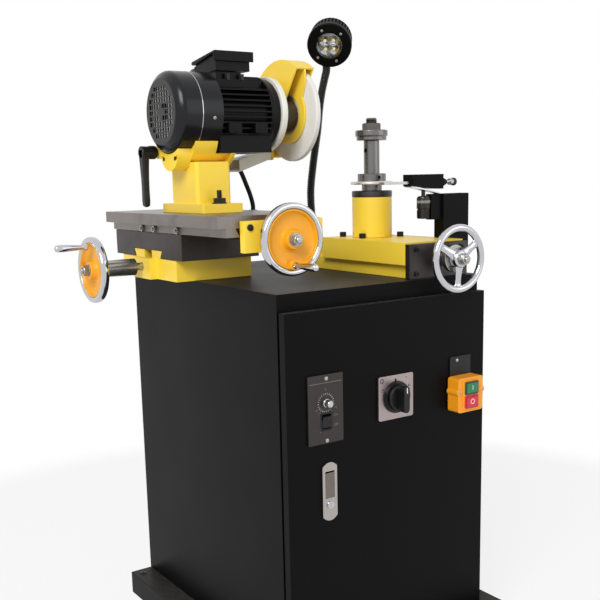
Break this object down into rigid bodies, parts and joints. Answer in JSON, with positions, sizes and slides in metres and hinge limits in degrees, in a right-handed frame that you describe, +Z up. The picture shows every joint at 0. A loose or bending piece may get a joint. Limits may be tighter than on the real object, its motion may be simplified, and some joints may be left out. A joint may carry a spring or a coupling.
{
  "type": "saw blade sharpening machine",
  "caption": "Cabinet-stand grinder for circular saw blades: a tilting motor head on a compound slide faces an upright arbor on its own slide, with a stop finger and a gooseneck lamp.",
  "frame": {"origin": "on the floor under the middle of the cabinet", "axes": "+Z up, the cabinet door faces -Y, +X to the right of someone who faces the door"},
  "size_m": [0.5805, 0.498, 0.9929],
  "materials": {
    "yellow_paint": "glossy enamel",
    "black_paint": "semi-gloss enamel",
    "black_plastic": "satin",
    "black_rubber": "matte",
    "cast_iron": "ground",
    "dark_steel": "blackened",
    "steel": "turned and ground",
    "chrome": "polished",
    "satin_plate": "satin",
    "green_plastic": "gloss",
    "red_plastic": "gloss",
    "orange_plastic": "gloss",
    "white_stone": null,
    "light_paint": "satin enamel",
    "clear_plastic": "clear"
  },
  "bodies": {
    "machine": {"base_plinth": "black_paint", "cabinet_shell": "black_paint", "wiring_panel": "steel", "hinge_lower": "black_paint", "hinge_upper": "black_paint", "slide_base": "yellow_paint", "arbor_bed": "yellow_paint", "arbor_end_plate": "dark_steel", "lamp_foot": "black_paint", "lamp_neck": "black_plastic"},
    "door_leaf": {"door": "black_paint", "selector_switch": "satin_plate", "speed_panel": "dark_steel", "switch_housing": "orange_plastic", "lock_case": "chrome"},
    "selector": {"selector_knob": "black_plastic"},
    "speed_dial": {"speed_knob": "chrome"},
    "rocker": {"rocker_switch": "black_plastic"},
    "start": {"start_button": "green_plastic"},
    "stop": {"stop_button": "red_plastic"},
    "paddle": {"lock_paddle": "satin_plate"},
    "side_wheel": {"side_handwheel": "yellow_paint", "long_screw": "steel"},
    "side_handle": {"side_grip": "chrome"},
    "cross_saddle": {"saddle": "cast_iron"},
    "top_table": {"table": "cast_iron", "screw_bracket": "yellow_paint", "column": "yellow_paint", "cord_clip": "black_plastic", "motor_cord": "black_rubber"},
    "front_wheel": {"front_handwheel": "yellow_paint", "cross_screw": "steel"},
    "front_handle": {"front_grip": "chrome"},
    "head": {"cradle": "yellow_paint", "motor_body": "black_paint", "flange_ring": "light_paint", "fan_cover": "black_paint", "terminal_box": "black_paint", "terminal_lid": "black_paint", "wheel_guard": "yellow_paint", "dust_spout": "light_paint"},
    "tilt_clamp": {"clamp_lever": "black_plastic"},
    "spindle": {"spindle_shaft": "dark_steel", "cooling_fan": "light_paint", "grinding_wheel": "white_stone", "spindle_nut": "dark_steel"},
    "arbor_wheel": {"arbor_handwheel": "chrome", "arbor_screw": "steel"},
    "carriage": {"arbor_carriage": "yellow_paint", "arbor_housing": "yellow_paint", "bearing_cap": "dark_steel", "finger_post": "black_paint"},
    "arbor_spindle": {"arbor_shaft": "steel", "clamp_flange": "steel", "arbor_nut": "steel"},
    "thimble": {"finger_thimble": "dark_steel"},
    "finger_head": {"finger_box": "black_paint"},
    "finger": {"stop_finger": "steel"},
    "lamp": {"lamp_head": "black_paint", "lamp_lens": "clear_plastic"}
  },
  "joints": [
    {"name": "door_swing", "type": "hinge", "parent": "machine", "child": "door_leaf", "pos_m": [0.1863, -0.208, 0.3], "axis": [0, 0, 1], "range_deg": [0, 110]},
    {"name": "selector_turn", "type": "hinge", "parent": "door_leaf", "child": "selector", "pos_m": [0.004, -0.228, 0.409], "axis": [0, 1, 0], "range_deg": [-60, 60]},
    {"name": "speed_turn", "type": "hinge", "parent": "door_leaf", "child": "speed_dial", "pos_m": [-0.119, -0.228, 0.4195], "axis": [0, 1, 0], "range_deg": [-135, 135]},
    {"name": "rocker_press", "type": "hinge", "parent": "door_leaf", "child": "rocker", "pos_m": [-0.119, -0.228, 0.3935], "axis": [1, 0, 0], "range_deg": [-14, 0]},
    {"name": "start_press", "type": "slide", "parent": "door_leaf", "child": "start", "axis": [0, 1, 0], "range_m": [0, 0.003], "stiffness_N_per_m": 600},
    {"name": "stop_press", "type": "slide", "parent": "door_leaf", "child": "stop", "axis": [0, 1, 0], "range_m": [0, 0.003], "stiffness_N_per_m": 600},
    {"name": "paddle_lift", "type": "hinge", "parent": "door_leaf", "child": "paddle", "pos_m": [-0.1138, -0.2265, 0.3167], "axis": [-1, 0, 0], "range_deg": [0, 35]},
    {"name": "side_wheel_turn", "type": "hinge", "parent": "machine", "child": "side_wheel", "pos_m": [-0.303, 0.107, 0.589], "axis": [1, 0, 0], "range_deg": [-3600, 3600]},
    {"name": "side_grip_spin", "type": "hinge", "parent": "side_wheel", "child": "side_handle", "pos_m": [-0.303, 0.107, 0.624], "axis": [1, 0, 0], "continuous": true},
    {"name": "saddle_slide", "type": "slide", "parent": "machine", "child": "cross_saddle", "axis": [1, 0, 0], "range_m": [-0.04, 0.04]},
    {"name": "table_slide", "type": "slide", "parent": "cross_saddle", "child": "top_table", "axis": [0, 1, 0], "range_m": [-0.04, 0.04]},
    {"name": "front_wheel_turn", "type": "hinge", "parent": "top_table", "child": "front_wheel", "pos_m": [-0.127, -0.17, 0.637], "axis": [0, 1, 0], "range_deg": [-3600, 3600]},
    {"name": "front_grip_spin", "type": "hinge", "parent": "front_wheel", "child": "front_handle", "pos_m": [-0.127, -0.17, 0.602], "axis": [0, 1, 0], "continuous": true},
    {"name": "head_tilt", "type": "hinge", "parent": "top_table", "child": "head", "pos_m": [-0.152, 0.035, 0.785], "axis": [1, 0, 0], "range_deg": [-15, 15], "deforming": ["motor_cord"]},
    {"name": "clamp_turn", "type": "hinge", "parent": "head", "child": "tilt_clamp", "pos_m": [-0.2, 0.075, 0.761], "axis": [1, 0, 0], "range_deg": [-60, 60]},
    {"name": "spindle_spin", "type": "hinge", "parent": "head", "child": "spindle", "pos_m": [0, 0.035, 0.817], "axis": [1, 0, 0], "continuous": true},
    {"name": "arbor_wheel_turn", "type": "hinge", "parent": "machine", "child": "arbor_wheel", "pos_m": [0.113, -0.243, 0.599], "axis": [0, 1, 0], "range_deg": [0, 5400]},
    {"name": "carriage_slide", "type": "slide", "parent": "machine", "child": "carriage", "axis": [0, 1, 0], "range_m": [0, 0.06]},
    {"name": "arbor_spin", "type": "hinge", "parent": "carriage", "child": "arbor_spindle", "pos_m": [0.108, -0.051, 0.7], "axis": [0, 0, 1], "continuous": true},
    {"name": "thimble_turn", "type": "hinge", "parent": "carriage", "child": "thimble", "pos_m": [0.121, -0.158, 0.67], "axis": [0, 0, 1], "range_deg": [0, 1440]},
    {"name": "finger_lift", "type": "slide", "parent": "carriage", "child": "finger_head", "axis": [0, 0, 1], "range_m": [0, 0.004]},
    {"name": "finger_pull", "type": "slide", "parent": "finger_head", "child": "finger", "axis": [1, 0, 0], "range_m": [0, 0.012], "stiffness_N_per_m": 300},
    {"name": "lamp_tilt", "type": "hinge", "parent": "machine", "child": "lamp", "pos_m": [0.146, 0.123, 0.92], "axis": [0.6691, -0.7431, 0], "range_deg": [-25, 25]}
  ],
  "couplings": [
    {"joint": "side_wheel_turn", "follows": "saddle_slide", "rad_per_m": 1570.8},
    {"joint": "front_wheel_turn", "follows": "table_slide", "rad_per_m": 1570.8},
    {"joint": "arbor_wheel_turn", "follows": "carriage_slide", "rad_per_m": 1570.8},
    {"joint": "thimble_turn", "follows": "finger_lift", "rad_per_m": 6283.1}
  ]
}
